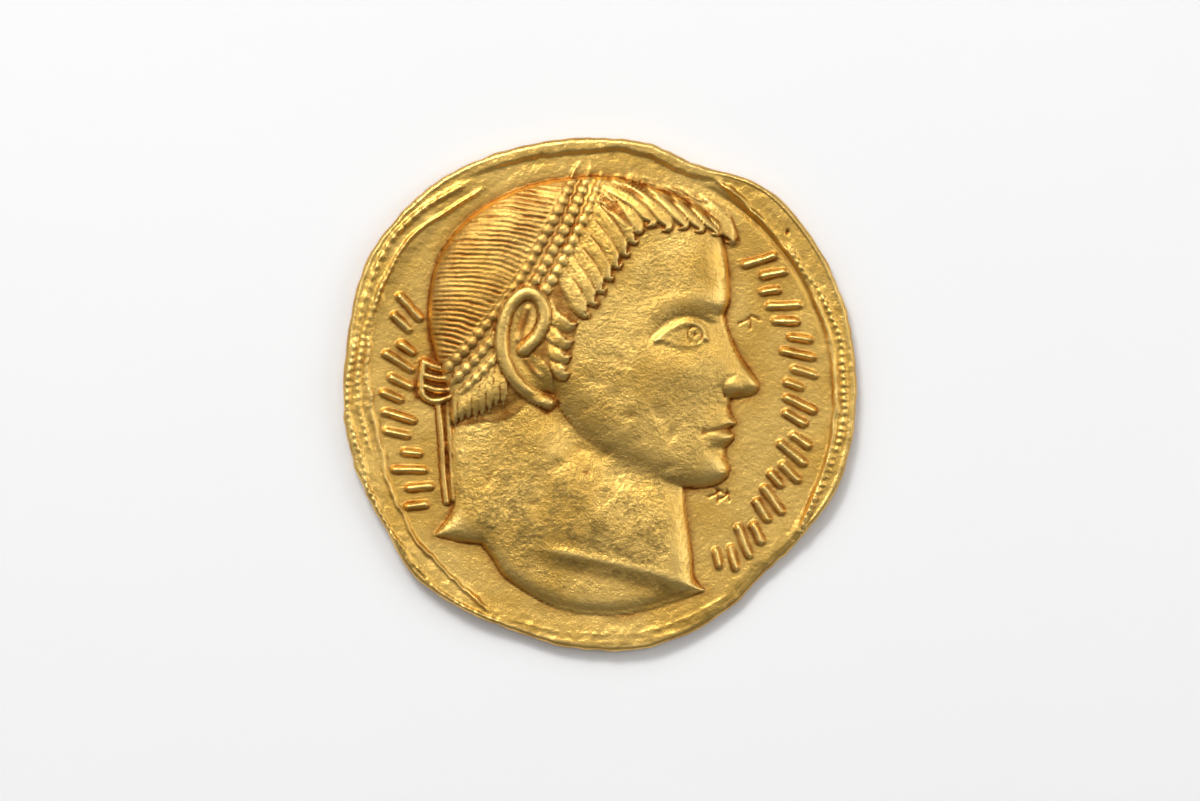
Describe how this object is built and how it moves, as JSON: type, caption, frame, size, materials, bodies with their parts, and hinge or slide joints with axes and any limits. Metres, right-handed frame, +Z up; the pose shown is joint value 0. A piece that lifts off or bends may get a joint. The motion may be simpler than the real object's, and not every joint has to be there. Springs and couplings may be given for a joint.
{
  "type": "gold coin",
  "caption": "Round hand-struck gold coin with an uneven edge, a portrait head in profile wearing a pearl diadem, and a wreath on the reverse.",
  "frame": {"origin": "centre of the coin's bounding box on the plane of the reverse's flat land, where the coin lies", "axes": "+Z up, out of the portrait side; +Y towards the top of the portrait's head; +X the way the portrait looks"},
  "size_m": [0.02, 0.02, 0.0016],
  "materials": {
    "gold": null
  },
  "bodies": {
    "root": {"coin": "gold"}
  },
  "joints": []
}
